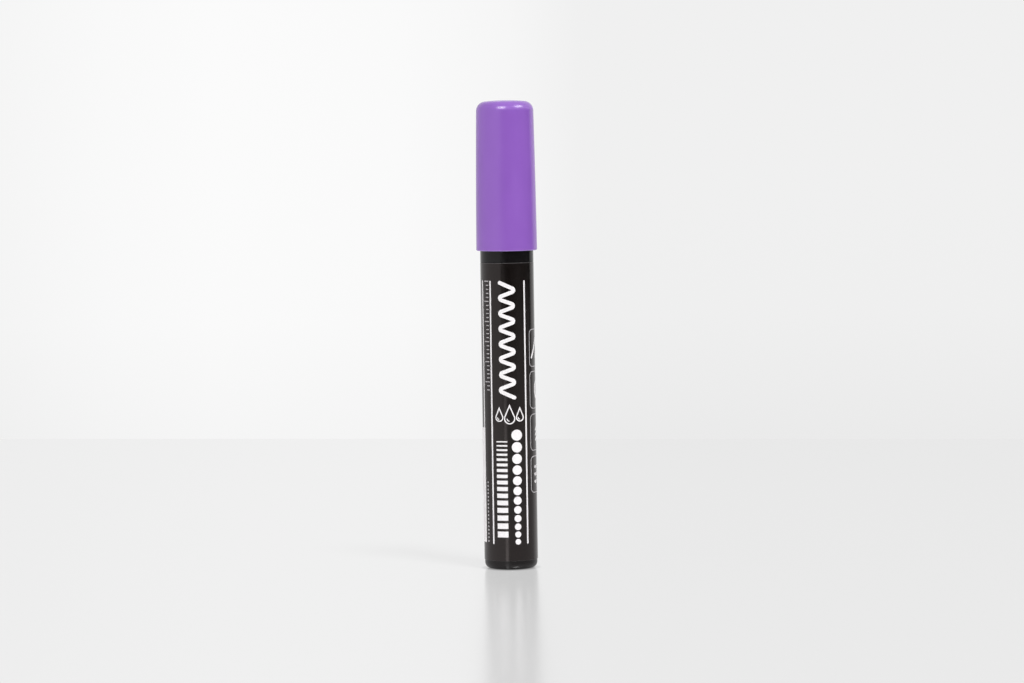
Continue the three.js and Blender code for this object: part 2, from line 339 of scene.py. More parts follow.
def purple_plastic():
    finish = Finish("Purple plastic", Specular_IOR_Level=0.64)
    finish.color(finish.noise(9, 2, (1, 1, 0.4)), srgb(140, 91, 188), srgb(144, 95, 192))
    # Painted highlight: the rim's lowest edge turns a paler purple.
    finish.fade(cap_low.z + CAP_RIM_HIGHLIGHT[0], cap_low.z + CAP_RIM_HIGHLIGHT[1], srgb(164, 130, 209))
    finish.roughness(finish.noise(2.2), 0.2, 0.26)
    finish.bump(finish.noise(5, 2, (1, 1, 0.3)), 0.012)
    finish.bump(finish.noise(0.12), 0.0006)
    return finish.material


def barrel_plastic():
    finish = Finish("Black barrel plastic", Specular_IOR_Level=0.33)
    finish.color(finish.noise(4), srgb(12, 8, 8), srgb(15, 11, 11))
    finish.roughness(finish.noise(1.5), 0.3, 0.38)
    finish.bump(finish.noise(0.15), 0.001)
    return finish.material


def front_plastic():
    finish = Finish("Black front plastic", Specular_IOR_Level=0.32)
    finish.color(finish.noise(3), srgb(9, 7, 8), srgb(12, 10, 11))
    finish.roughness(finish.noise(1.2), 0.18, 0.22)
    finish.bump(finish.noise(3, 2), 0.0015)
    finish.bump(finish.noise(0.14), 0.0007)
    return finish.material


def printed_film():
    finish = Finish("Black printed film", Specular_IOR_Level=0.53, Specular_Tint=(1, 0.9, 0.89, 1))
    finish.color(finish.noise(6), srgb(9, 5, 4), srgb(12, 7, 6))
    # Painted highlights: paler bands along the film's top and bottom edges.
    finish.fade(film_high.z - FILM_TOP_HIGHLIGHT[0], film_high.z - FILM_TOP_HIGHLIGHT[1], srgb(90, 87, 88))
    finish.fade(film_low.z + FILM_BOTTOM_HIGHLIGHT[0], film_low.z + FILM_BOTTOM_HIGHLIGHT[1], srgb(62, 60, 61))
    finish.roughness(finish.noise(2), 0.16, 0.2)
    finish.bump(finish.noise(4, 2, (1, 1, 0.5)), 0.01)
    finish.bump(finish.noise(0.2), 0.0005)
    return finish.material


def ink(name, low_color, high_color):
    finish = Finish(name, Specular_IOR_Level=0.5)
    finish.color(finish.noise(0.5), low_color, high_color)
    finish.roughness(finish.noise(0.4), 0.34, 0.44)
    finish.bump(finish.noise(0.15), 0.002)
    return finish.material


def liner_plastic():
    finish = Finish("White inner cap plastic", Subsurface_Weight=0.15, Subsurface_Scale=0.001)
    finish.color(finish.noise(5), srgb(236, 234, 229), srgb(243, 241, 237))
    finish.roughness(finish.noise(1.5), 0.34, 0.42)
    finish.bump(finish.noise(0.3), 0.002)
    return finish.material


def natural_plastic():
    finish = Finish("Natural valve plastic", Subsurface_Weight=0.3, Subsurface_Scale=0.001)
    finish.color(finish.noise(2), srgb(226, 223, 214), srgb(236, 233, 226))
    finish.roughness(finish.noise(1), 0.36, 0.46)
    finish.bump(finish.noise(0.25), 0.003)
    return finish.material


def nib_fibre():
    finish = Finish("Bonded nib fibre", Sheen_Weight=0.15, Specular_IOR_Level=0.3)
    strands = finish.noise(0.14, 4, (1, 1, 0.08))
    finish.color(strands, srgb(226, 221, 207), srgb(247, 244, 235))
    finish.roughness(finish.noise(0.4), 0.82, 0.95)
    finish.bump(strands, 0.05)
    finish.bump(finish.cells(0.2), 0.02)
    return finish.material


def sponge_foam():
    finish = Finish("Open foam", Specular_IOR_Level=0.2)
    pores = finish.cells(0.35)
    # Darker in the middle of each pore, where the bump sinks in: painted shade in the pores.
    finish.color(pores, srgb(214, 206, 186), srgb(240, 234, 220), 0.1, 0.5)
    finish.roughness(finish.noise(0.5), 0.88, 0.98)
    finish.bump(pores, 0.12)
    return finish.material


def seal_rubber():
    finish = Finish("Black seal rubber", Specular_IOR_Level=0.4)
    finish.color(finish.noise(0.8), srgb(34, 34, 35), srgb(44, 44, 45))
    finish.roughness(finish.noise(0.5), 0.6, 0.75)
    finish.bump(finish.noise(0.1), 0.004)
    return finish.material


def spring_steel():
    finish = Finish("Drawn spring wire", Metallic=1)
    finish.color(finish.noise(0.4, 3, (1, 1, 4)), srgb(176, 178, 182), srgb(200, 202, 206))
    finish.roughness(finish.noise(0.2, 3, (1, 1, 6)), 0.22, 0.36)
    finish.bump(finish.noise(0.06, 2, (1, 1, 8)), 0.002)
    return finish.material


def ball_steel():
    finish = Finish("Polished ball steel", Metallic=1)
    finish.color(finish.noise(1), srgb(206, 208, 212), srgb(216, 218, 222))
    finish.roughness(finish.noise(0.4), 0.06, 0.12)
    finish.bump(finish.noise(0.08), 0.0005)
    return finish.material


def put(piece, material, body, slot, *nodes):
    """Gives a piece its material and body, and lets it stand for CAD nodes; its slot is not used."""
    piece.data.materials.append(material)
    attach(piece, body)
    if nodes:
        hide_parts(*nodes)
    return piece


# Cap


def cap_radius_at(height):
    share = (height - cap_low.z) / cap_straight
    return cap_high.x - CAP_TAPER * share + 4 * CAP_BOW * share * (1 - share)


crown_ring = cap_high.x - CAP_TAPER - CROWN_RADIUS
crown_tilt = math.atan(2 * CROWN_RISE / crown_ring)
cap_straight = cap_high.z - cap_low.z - CROWN_RISE - CROWN_RADIUS * math.cos(crown_tilt)


def cap_side(steps=12):
    """The slightly bowed side, above the rim and below the crown."""
    heights = [cap_low.z + cap_straight * step / steps for step in range(1, steps)]
    return [(cap_radius_at(height), height) for height in heights]


def cap_crown():
    """The rounded edge, the shallow dome and the small gate mark in its middle."""
    steps = 9
    edge = crown_ring + CROWN_RADIUS * math.sin(crown_tilt)
    points = arc(crown_ring, cap_low.z + cap_straight, CROWN_RADIUS, 0, 90 - math.degrees(crown_tilt), 28)
    for step in range(1, steps + 1):
        radius = edge + (GATE_RADIUS - edge) * step / steps
        points.append((radius, cap_high.z - CROWN_RISE * (radius / edge) ** 2))
    gate_floor = cap_high.z - GATE_DEPTH
    points.append((GATE_RADIUS - GATE_DEPTH, gate_floor))
    points.append((0, gate_floor))
    return points


def purple_cap():
    bore = front_high.x + CAP_BORE_GAP
    ceiling = cap_high.z - CROWN_RISE - CAP_ROOF
    shoulder = liner_low.z
    inside = cap_radius_at(ceiling - CAP_INNER_CORNER) - CAP_WALL
    side = cap_side()
    lining = rounded([
        (0, ceiling, 0),
        (inside, ceiling, CAP_INNER_CORNER),
        (cap_radius_at(shoulder) - CAP_WALL, shoulder, 0.15),
        (bore, shoulder, 0.1),
        (bore, cap_low.z, CAP_RIM_EDGE),
        (cap_high.x, cap_low.z, CAP_RIM_EDGE),
        (*side[0], 0),
    ])
    piece = lathe("purple_cap", lining + side[1:] + cap_crown())
    return put(piece, purple_plastic(), "cap", "cap_plastic", "cap_shell")


def inner_cap():
    bore_end = liner_low.z + LINER_BORE_LENGTH
    cone_end = bore_end + LINER_CONE_LENGTH
    ceiling = liner_high.z - LINER_POST_HEIGHT - LINER_ROOF
    roof = ceiling + LINER_ROOF
    outline = rounded([
        (0, ceiling, 0),
        (LINER_CHAMBER_RADIUS, ceiling, LINER_CORNER),
        (LINER_CHAMBER_RADIUS, cone_end, 0.5),
        (LINER_BORE, bore_end, 0.5),
        (LINER_BORE, liner_low.z + LINER_MOUTH_EDGE, 0.15),
        (LINER_BORE + LINER_MOUTH_EDGE, liner_low.z, 0.1),
        (liner_high.x, liner_low.z, 0.15),
        (liner_high.x, liner_low.z + LINER_FLANGE, 0.15),
        (LINER_BORE + LINER_WALL, liner_low.z + LINER_FLANGE, 0.2),
        (LINER_BORE + LINER_WALL, bore_end + LINER_WALL, 0.5),
        (LINER_CHAMBER_RADIUS + LINER_WALL, cone_end + LINER_WALL, 0.5),
        (LINER_CHAMBER_RADIUS + LINER_WALL, roof, LINER_CORNER),
        (LINER_POST_RADIUS, roof, 0.3),
        (LINER_POST_RADIUS, liner_high.z, 0.2),
        (0, liner_high.z, 0),
    ])
    piece = lathe("inner_cap", outline)
    return put(piece, liner_plastic(), "cap", "liner_plastic", "cap_liner")


# Barrel and film

mouth_radius = front_high.x - MOUTH_STEP


def barrel_radius_at(height):
    share = (height - BASE_CORNER) / (barrel_high.z - BASE_CORNER)
    return barrel_high.x + (mouth_radius - barrel_high.x) * share


def film_radius_at(height):
    return barrel_radius_at(height) + FILM_GAP + FILM_THICKNESS


def barrel_bottle():
    inside = barrel_radius_at(BARREL_FLOOR) - BARREL_WALL
    outline = rounded([
        (0, BASE_RECESS_DEPTH, 0),
        (BASE_RECESS_RADIUS - BASE_RECESS_DEPTH, BASE_RECESS_DEPTH, 0.2),
        (BASE_RECESS_RADIUS, 0, 0.2),
        (barrel_high.x, 0, BASE_CORNER),
        (mouth_radius, barrel_high.z, BARREL_RIM_EDGE),
        (mouth_radius - BARREL_WALL, barrel_high.z, 0.1),
        (inside, BARREL_FLOOR, BARREL_FLOOR_CORNER),
        (0, BARREL_FLOOR, 0),
    ], steps=10)
    piece = lathe("barrel_bottle", outline)
    return put(piece, barrel_plastic(), "barrel", "barrel_plastic", "barrel")


def label_film(material):
    outer = film_radius_at(film_high.z)
    outer_base = film_radius_at(film_low.z)
    outline = rounded([
        (outer_base - FILM_THICKNESS, film_low.z, FILM_EDGE),
        (outer_base, film_low.z, FILM_EDGE),
        (outer, film_high.z, FILM_EDGE),
        (outer - FILM_THICKNESS, film_high.z, FILM_EDGE),
    ], closed=True, steps=4)
    piece = lathe("label_film", outline, closed=True)
    return put(piece, material, "barrel", "printed_film", "label_sleeve")


# Front section: collar, plug, neck and nose


def plug_rib(middle):
    return [
        (PLUG_RADIUS, middle - PLUG_RIB_WIDTH / 2, 0.1),
        (PLUG_RADIUS + PLUG_RIB_HEIGHT, middle, 0.25),
        (PLUG_RADIUS, middle + PLUG_RIB_WIDTH / 2, 0.1),
    ]


def front_body():
    base = front_low.z + PLUG_LENGTH
    collar_top = base + COLLAR_HEIGHT
    bead = collar_top + BEAD_RISE
    neck_top = collar_top + NECK_LENGTH
    web = collar_top - WEB_DEPTH
    outline = rounded([
        (PLUG_BORE, front_low.z, 0.15),
        (PLUG_RADIUS, front_low.z, 0.3),
        *plug_rib(base - PLUG_LENGTH * 2 / 3),
        *plug_rib(base - PLUG_LENGTH / 3),
        (PLUG_RADIUS, base, 0.1),
        (front_high.x, base, 0.06),
        (front_high.x, collar_top, COLLAR_EDGE),
        (NECK_RADIUS, collar_top, 0.3),
        (NECK_RADIUS, bead - BEAD_WIDTH / 2, 0.4),
        (NECK_RADIUS + BEAD_HEIGHT, bead, 1.2),
        (NECK_RADIUS, bead + BEAD_WIDTH / 2, 0.4),
        (NECK_RADIUS, neck_top, 0.5),
        (NOSE_TIP_RADIUS, front_high.z, NOSE_EDGE),
        (NIB_BORE, front_high.z, 0.15),
        (NIB_BORE, neck_top + CHAMBER_RISE, 0.1),
        (CHAMBER_RADIUS, neck_top + CHAMBER_RISE, 0.3),
        (CHAMBER_RADIUS, web, 0.3),
        (VALVE_HOLE, web, 0.15),
        (VALVE_HOLE, web - WEB_THICKNESS, 0.15),
        (PLUG_BORE, web - WEB_THICKNESS, 0.2),
    ], closed=True)
    piece = lathe("front_body", outline, closed=True)
    return put(piece, front_plastic(), "barrel", "front_plastic", "front_section")


def bullet_nib():
    shoulder = nib_high.z - NIB_BULLET_LENGTH
    radius = nib_high.x
    rear = rounded([
        (0, nib_low.z, 0),
        (radius, nib_low.z, NIB_REAR_EDGE),
        (radius, shoulder, 0),
    ])
    bullet = arc(0, 0, 1, 0, 90, 28)[1:-1]
    tip = [(radius * across, shoulder + NIB_BULLET_LENGTH * up) for across, up in bullet]
    piece = lathe("bullet_nib", rear + tip + [(0, nib_high.z)])
    return put(piece, nib_fibre(), "nib", "nib_fibre", "nib")


# Valve spring and mixing balls


def return_spring(steps_per_turn=32, wire_sides=12):
    """One unbroken helix of round wire, with flat ends."""
    middle_radius = spring_high.x - SPRING_WIRE / 2
    length = spring_high.z - spring_low.z - SPRING_WIRE
    steps = SPRING_TURNS * steps_per_turn
    slope = math.atan2(length, 2 * math.pi * middle_radius * SPRING_TURNS)
    shape = bmesh.new()
    rings = []
    for step in range(steps + 1):
        angle = 2 * math.pi * step / steps_per_turn
        outward = Vector((math.cos(angle), math.sin(angle), 0))
        forward = Vector((-math.sin(angle), math.cos(angle), math.tan(slope))).normalized()
        sideways = outward.cross(forward)
        height = spring_low.z + SPRING_WIRE / 2 + length * step / steps
        centre = outward * middle_radius + Vector((0, 0, height))
        ring = []
        for side in range(wire_sides):
            turn = 2 * math.pi * side / wire_sides
            offset = outward * math.cos(turn) + sideways * math.sin(turn)
            ring.append(shape.verts.new((centre + offset * SPRING_WIRE / 2) * MM))
        rings.append(ring)
    for lower, upper in zip(rings, rings[1:]):
        join_rings(shape, lower, upper)
    shape.faces.new(rings[0])
    shape.faces.new(rings[-1])
    piece = bmesh_object("return_spring", shape, 50)
    put(piece, spring_steel(), "barrel", "spring_steel", "valve_spring")
    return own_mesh(piece)


def steel_balls():
    material = ball_steel()
    for number in (1, 2):
        node = f"mixing_ball_{number}"
        low, high = cad_box(node)
        middle = (low + high) / 2
        outline = arc(0, middle.z, BALL_RADIUS, -90, 90, 48)
        outline[0] = (0, outline[0][1])
        outline[-1] = (0, outline[-1][1])
        piece = lathe(f"steel_ball_{number}", outline, segments=96, centre=(middle.x, middle.y))
        put(piece, material, f"ball_{number}", "ball_steel", node)


def inner_pieces():
    """The small pieces inside, whose CAD shapes stay."""
    valve_material = natural_plastic()
    finishes = {
        "overflow_sponge": sponge_foam(),
        "valve_seal": seal_rubber(),
        "valve_stem": valve_material,
        "valve_cage": valve_material,
    }
    for node, material in finishes.items():
        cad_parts[node].material_slots[0].material = material


# Print: flat shapes on the unrolled film, across it and up it in millimetres, made of convex
# polygons that share their edges, then cut into narrow strips and laid round the film

PRINT_RADIUS = 8.0  # the film's radius, rounded, which turns degrees into millimetres
INK_GAP = 0.005
INK_THICKNESS = 0.025
INK_STRIP = 0.25

PRINT_TOP = 86.45
PRINT_BOTTOM = 7.83
PANEL_TOP = 42.5
PANEL_BOTTOM = 8.1
RULE_WIDTH = 0.5
FINE_RULE_WIDTH = 0.25


def around(degrees):
    """How far round the film an angle lies. Zero faces the front, and right is positive."""
    return math.radians(degrees) * PRINT_RADIUS


def bar(left, right, bottom, top):
    return [[(left, bottom), (right, bottom), (right, top), (left, top)]]


def disc(across, up, radius, sides=32):
    turns = [2 * math.pi * side / sides for side in range(sides)]
    return [[(across + radius * math.cos(turn), up + radius * math.sin(turn)) for turn in turns]]


def stroke(points, width, closed=False):
    """Quads along a line, mitred where it bends, and there at most about three times as wide."""
    narrowest = 0.3
    count = len(points)
    sides = []
    for index, point in enumerate(points):
        here = Vector(point)
        before = Vector(points[index - 1]) if closed or index > 0 else None
        after = Vector(points[(index + 1) % count]) if closed or index < count - 1 else None
        into = (here - before).normalized() if before is not None else (after - here).normalized()
        out = (after - here).normalized() if after is not None else into
        along = (into + out).normalized()
        across = Vector((-along.y, along.x)) * (width / 2) / max(along.dot(into), narrowest)
        sides.append((here + across, here - across))
    links = list(zip(sides, sides[1:] + sides[:1])) if closed else list(zip(sides, sides[1:]))
    return [[tuple(a[0]), tuple(a[1]), tuple(b[1]), tuple(b[0])] for a, b in links]


def round_end(tip, towards, width, sides=12):
    """Half a disc that rounds off a stroke which ends at tip and comes from the point towards."""
    out = (Vector(tip) - Vector(towards)).normalized()
    start = math.atan2(out.y, out.x) - math.pi / 2
    half_disc = []
    for side in range(sides + 1):
        turn = start + math.pi * side / sides
        half_disc.append((tip[0] + width / 2 * math.cos(turn), tip[1] + width / 2 * math.sin(turn)))
    return [half_disc]


def round_stroke(points, width):
    ends = round_end(points[0], points[1], width) + round_end(points[-1], points[-2], width)
    return stroke(points, width) + ends


def round_box(left, right, bottom, top, rounding, width):
    corners = [
        (left, bottom, rounding),
        (right, bottom, rounding),
        (right, top, rounding),
        (left, top, rounding),
    ]
    return stroke(rounded(corners, closed=True), width, closed=True)


def drop(across, up, height, width):
    """A paint drop in outline that stands on its round end, with a short curved shine."""
    round_share = 0.28
    shine_share = 0.5
    shine_width = width * 0.8
    radius = height * round_share
    middle = up + radius
    tip = up + height
    reach = tip - middle
    tangent = math.degrees(math.asin(radius / reach))
    points = arc(across, middle, radius, tangent, -180 - tangent, 28)
    shine = arc(across, middle, radius * shine_share, 185, 255, 8)
    return stroke([(across, tip)] + points, width, closed=True) + round_stroke(shine, shine_width)


def cut_strips(flat):
    """Cuts flat faces into strips narrow enough to follow the film's round."""
    edges = [vertex.co.x for vertex in flat.verts]
    first = math.ceil(min(edges) / INK_STRIP)
    last = math.floor(max(edges) / INK_STRIP)
    for strip in range(first, last + 1):
        everything = [*flat.verts, *flat.edges, *flat.faces]
        bmesh.ops.bisect_plane(
            flat, geom=everything, dist=1e-5, plane_co=(strip * INK_STRIP, 0, 0), plane_no=(1, 0, 0)
        )
    flat.verts.index_update()


def on_film(across, up, lift):
    """A point of the unrolled film, laid round the film and lifted off it."""
    radius = film_radius_at(up) + lift
    angle = across / PRINT_RADIUS
    return (radius * math.sin(angle) * MM, -radius * math.cos(angle) * MM, up * MM)


def laid_round(flat):
    """Points and faces of thin closed solids round the film, made from flat faces."""
    points = []
    for lift in (INK_GAP, INK_GAP + INK_THICKNESS):
        points += [on_film(vertex.co.x, vertex.co.y, lift) for vertex in flat.verts]
    count = len(flat.verts)
    faces = []
    for face in flat.faces:
        loop = [vertex.index for vertex in face.verts]
        faces.append(loop[::-1])
        faces.append([index + count for index in loop])
        for corner in face.loops:
            if corner.edge.is_boundary:
                start = corner.vert.index
                end = corner.link_loop_next.vert.index
                faces.append([start, end, end + count, start + count])
    return points, faces


def print_piece(name, polygons, material):
    """One piece of thin ink round the film, from flat polygons."""
    flat = bmesh.new()
    for polygon in polygons:
        flat.faces.new([flat.verts.new((across, up, 0)) for across, up in polygon])
    bmesh.ops.remove_doubles(flat, verts=flat.verts, dist=1e-4)
    cut_strips(flat)
    points, faces = laid_round(flat)
    flat.free()
    mesh = bpy.data.meshes.new(name)
    mesh.from_pydata(points, [], faces)
    shape = bmesh.new()
    shape.from_mesh(mesh)
    bpy.data.meshes.remove(mesh)
    return put(bmesh_object(name, shape, 40), material, "barrel", None)


def rules(degrees_list, width, bottom, top):
    polygons = []
    for degrees in degrees_list:
        middle = around(degrees)
        polygons += bar(middle - width / 2, middle + width / 2, bottom, top)
    return polygons


def squiggle():
    """One bold marker line that swings from side to side down the front."""
    width = 1.14
    middle = around(-2.2)
    corner_reach = 3.12  # before its corners are rounded, which brings the turns in to end_reach
    end_reach = 1.97
    corner_rounding = 0.6
    sweep = 2.28
    turns = 15
    top = PRINT_TOP - width / 2
    corners = []
    for turn in range(turns + 1):
        reach = corner_reach if 0 < turn < turns else end_reach
        side = -reach if turn % 2 == 0 else reach
        corners.append((middle + side, top - sweep * turn, corner_rounding))
    return round_stroke(rounded(corners, steps=8), width)


def drop_trio():
    """A large drop between two small ones, all centred at one height."""
    line = 0.34
    small = 3.9
    large = 5.4
    middle = around(1)
    middle_height = 46.6
    spread = 3.15
    polygons = []
    for offset, height in ((-spread, small), (0, large), (spread, small)):
        polygons += drop(middle + offset, middle_height - height / 2, height, line)
    return polygons


def graded_dots():
    """A row of dots, from broad at the top to fine at the bottom."""
    middle = around(15.9)
    largest = 1.65
    smallest = 0.85
    count = 12
    gap = 0.4
    polygons = []
    up = 42.1
    for number in range(count):
        radius = largest + (smallest - largest) * number / (count - 1)
        polygons += disc(middle, up - radius, radius)
        up -= 2 * radius + gap
    return polygons


def graded_bars():
    """A row of short lines, from fine at the top to broad at the bottom."""
    left = around(-29)
    right = around(-5)
    finest = 0.35
    broadest = 1.75
    count = 16
    gap = 0.8
    polygons = []
    up = 38.7
    for number in range(count):
        height = finest + (broadest - finest) * number / (count - 1)
        polygons += bar(left, right, up - height, up)
        up -= height + gap
    return polygons


def lined_panel(left, right, lines=1, line_width=0.3, margin=2.0):
    """A solid panel that leaves fine lines open, along the pen, where something could be written."""
    stripe = (right - left - lines * line_width) / (lines + 1)
    heights = [PANEL_BOTTOM, PANEL_BOTTOM + margin, PANEL_TOP - margin, PANEL_TOP]
    polygons = []
    across = left
    for column in range(2 * lines + 1):
        is_line = column % 2 == 1
        width = line_width if is_line else stripe
        for row, (bottom, top) in enumerate(zip(heights, heights[1:])):
            if not (is_line and row == 1):
                polygons += bar(across, across + width, bottom, top)
        across += width
    return polygons


def ticks(degrees_left, degrees_right, bottom, top, pitch, width):
    """A fine scale: every fifth tick is long."""
    short_share = 0.55
    left = around(degrees_left)
    right = around(degrees_right)
    count = int((top - bottom) / pitch)
    polygons = []
    for number in range(count + 1):
        reach = 1 if number % 5 == 0 else short_share
        up = top - pitch * number
        polygons += bar(right - (right - left) * reach, right, up - width, up)
    return polygons


def dot_row(degrees, bottom, top, pitch, radius):
    count = int((top - bottom) / pitch)
    polygons = []
    for number in range(count + 1):
        polygons += disc(around(degrees), top - pitch * number, radius, 16)
    return polygons


BOX_LEFT = 52  # degrees
BOX_RIGHT = 136  # degrees
BOX_SPANS = [(60.6, 71.7), (48.1, 59.1), (35.5, 46.3), (22.9, 33.7)]  # bottom and top of each box
BOX_ROUNDING = 1.4
BOX_LINE = 0.24


def mark_boxes():
    polygons = []
    for bottom, top in BOX_SPANS:
        polygons += round_box(around(BOX_LEFT), around(BOX_RIGHT), bottom, top, BOX_ROUNDING, BOX_LINE)
    return polygons


def slanted_lines(middle, height, pitch=3.2, reach=1.6, rise=2.8, width=0.7):
    polygons = []
    for shift in (-pitch, 0, pitch):
        line = [(middle + shift - reach, height - rise), (middle + shift + reach, height + rise)]
        polygons += round_stroke(line, width)
    return polygons


def ring_mark(middle, height, radius=2.9, width=0.7):
    return stroke(disc(middle, height, radius, 48)[0], width, closed=True)


def chevrons(middle, height, pitch=1.5, reach=2.6, rise=0.9, rounding=0.3, width=0.6):
    polygons = []
    for shift in (-pitch, 0, pitch):
        chevron = [
            (middle - reach, height + shift - rise, 0),
            (middle, height + shift + rise, rounding),
            (middle + reach, height + shift - rise, 0),
        ]
        polygons += round_stroke(rounded(chevron), width)
    return polygons


def dot_grid(middle, height, across_pitch=1.7, up_pitch=2.2, radius=0.5):
    polygons = []
    for column in range(-2, 3):
        for row in range(-1, 2):
            polygons += disc(middle + across_pitch * column, height + up_pitch * row, radius, 24)
    return polygons


def box_marks():
    """One plain geometric mark in each box."""
    middle = around((BOX_LEFT + BOX_RIGHT) / 2)
    marks = (slanted_lines, ring_mark, chevrons, dot_grid)
    polygons = []
    for mark, (bottom, top) in zip(marks, BOX_SPANS):
        polygons += mark(middle, (bottom + top) / 2)
    return polygons


def back_lines():
    """Fine lines on the back, between two rules, level with the boxes' top."""
    left = around(158)
    right = around(214)
    top = BOX_SPANS[0][1]
    count = 6
    pitch = 5.5
    width = 0.22
    polygons = []
    for number in range(count):
        up = top - pitch * number
        polygons += bar(left, right, up - width, up)
    return polygons


def film_overlap(material):
    """The film's own edge, where it laps over itself at the back."""
    left = around(OVERLAP_MIDDLE) - OVERLAP_WIDTH / 2
    shape = bar(left, left + OVERLAP_WIDTH, film_low.z + FILM_EDGE, film_high.z - FILM_EDGE)
    piece = print_piece("film_overlap", shape, material)
    return piece


def label_print():
    """The print on the front, the left, the right and the back. Places round the film are in degrees."""
    white = ink("White ink", srgb(243, 239, 241), srgb(250, 247, 248))
    grey = ink("Pale grey ink", srgb(176, 172, 175), srgb(188, 184, 187))
    front_rules = rules((-39.6, 38.7), RULE_WIDTH, PRINT_BOTTOM, PRINT_TOP)
    side_rule = rules((-66.5,), RULE_WIDTH, PANEL_TOP, PRINT_TOP)
    back_rules = rules((148, 224), FINE_RULE_WIDTH, PRINT_BOTTOM, PRINT_TOP)
    scale = ticks(-59, -45, bottom=53.7, top=PRINT_TOP, pitch=1.2, width=0.3)
    print_piece("print_rules", front_rules, white)
    print_piece("print_squiggle", squiggle(), white)
    print_piece("print_drops", drop_trio(), white)
    print_piece("print_dots", graded_dots(), white)
    print_piece("print_bars", graded_bars(), white)
    print_piece("print_scale", scale, grey)
    print_piece("print_dot_row", dot_row(-55, bottom=7.6, top=26.2, pitch=1.1, radius=0.3), grey)
    print_piece("print_fine_rule", side_rule, white)
    print_piece("print_panel", lined_panel(around(-122), around(-64)), white)
    print_piece("print_boxes", mark_boxes(), grey)
    print_piece("print_marks", box_marks(), white)
    print_piece("print_back_rules", back_rules, grey)
    print_piece("print_back_lines", back_lines(), grey)


# Studio, in metres: a pale table with a far edge, a pale room, two lamps for the pen and one for the
# table, a dark card and a bright strip

CAMERA_PLACE = (0.00118, -1.085, 0.135)
CAMERA_LENS = 127.7
CAMERA_SENSOR = 36
CAMERA_PITCH = 3.538  # degrees down
CAMERA_ROLL = -0.85

TABLE_BACK = 0.43
TABLE_FRONT = 0.82
TABLE_HALF_WIDTH = 1.2
TABLE_GAP = 0.00002  # under the base, so that the two faces don't flicker
TABLE_TURN = -9.5  # degrees, so that the far edge looks level in the tilted photograph
TABLE_EVEN_SHARE = 0.88
TABLE_GLOSS_SHARE = 0.38
TABLE_GLOSS_ROUGHNESS = 0.21

# The table's shade round the base, by the distance from the pen's axis
CONTACT_START = 0.0055
CONTACT_END = 0.0093
CONTACT_LEVEL = 0.3

# Name, azimuth and elevation in degrees, width, height, watts, and what its light does with the table
LAMPS = [
    ("Left lamp", -16, 41, 1.68, 1.38, 81, "EXCLUDE"),
    ("Right lamp", 74, 44, 1.92, 1.38, 67.5, "EXCLUDE"),
    ("Table lamp", 37, 64, 0.6, 0.6, 111, "INCLUDE"),
]
LAMP_DISTANCE = 3.6
ROOM_LIGHT = 0.32


def ramp_node(nodes, link, field, stops):
    """A smooth ramp of greys over places from 0 to 1."""
    ramp = nodes.new("ShaderNodeValToRGB")
    elements = ramp.color_ramp.elements
    while len(elements) < len(stops):
        elements.new(0.5)
    for element, (place, grey) in zip(elements, stops):
        element.position = place
        element.color = srgb(grey, grey, grey)
    link(field, ramp.inputs["Fac"])
    return ramp.outputs["Color"]


def spread_node(nodes, link, field, low, high):
    """Turns values from low to high into 0 to 1."""
    spread = nodes.new("ShaderNodeMapRange")
    spread.inputs["From Min"].default_value = low
    spread.inputs["From Max"].default_value = high
    link(field, spread.inputs["Value"])
    return spread.outputs["Result"]


def seen_rays(nodes, link):
    """1 where the camera looks, straight on, in a gloss or through something clear."""
    rays = nodes.new("ShaderNodeLightPath")
    seen = rays.outputs["Is Camera Ray"]
    for kind in ("Is Glossy Ray", "Is Transmission Ray"):
        either = nodes.new("ShaderNodeMath")
        either.operation = "MAXIMUM"
        link(seen, either.inputs[0])
        link(rays.outputs[kind], either.inputs[1])
        seen = either.outputs["Value"]
    return seen


def mixed(nodes, link, share, first, second):
    """A blend of two shaders. The share is a number or a socket."""
    mix = nodes.new("ShaderNodeMixShader")
    if isinstance(share, float):
        mix.inputs["Fac"].default_value = share
    else:
        link(share, mix.inputs["Fac"])
    link(first, mix.inputs[1])
    link(second, mix.inputs[2])
    return mix.outputs["Shader"]


def one_sided(nodes, link, shader):
    """The shader on the front of a face, and nothing at all on its back."""
    behind = nodes.new("ShaderNodeNewGeometry").outputs["Backfacing"]
    clear = nodes.new("ShaderNodeBsdfTransparent")
    shown = mixed(nodes, link, behind, shader, clear.outputs["BSDF"])
    link(shown, nodes["Material Output"].inputs["Surface"])


def contact_shade(finish):
    """1 on the open table, and less close to the pen's base."""
    away = finish.nodes.new("ShaderNodeVectorMath")
    away.operation = "LENGTH"
    finish.link(finish.place, away.inputs[0])
    shade = finish.nodes.new("ShaderNodeMapRange")
    shade.inputs["From Min"].default_value = CONTACT_START
    shade.inputs["From Max"].default_value = CONTACT_END
    shade.inputs["To Min"].default_value = CONTACT_LEVEL
    finish.link(away.outputs["Value"], shade.inputs["Value"])
    return shade.outputs["Result"]


def table_tone(finish):
    """The table's even tone where it is seen, with painted shade: palest in the middle and to the back,
    darkest on the right.
    """
    # The darker tone on the right and at the far left is painted shade.
    left_to_right = [(0, 120), (0.35, 0), (0.69, 0), (0.81, 255)]  # how much of the darker tone
    front_to_back = [(0, 248), (1, 251)]
    nodes, link = finish.nodes, finish.link
    split = nodes.new("ShaderNodeSeparateXYZ")
    link(finish.place, split.inputs["Vector"])
    across = spread_node(nodes, link, split.outputs["X"], -0.15, 0.05)
    along = spread_node(nodes, link, split.outputs["Y"], -0.2, 0.4)
    blend = nodes.new("ShaderNodeMixRGB")
    link(ramp_node(nodes, link, across, left_to_right), blend.inputs["Fac"])
    link(ramp_node(nodes, link, along, front_to_back), blend.inputs["Color1"])
    blend.inputs["Color2"].default_value = srgb(243, 243, 243)
    tone = nodes.new("ShaderNodeEmission")
    link(blend.outputs["Color"], tone.inputs["Color"])
    link(contact_shade(finish), tone.inputs["Strength"])
    return tone.outputs["Emission"]


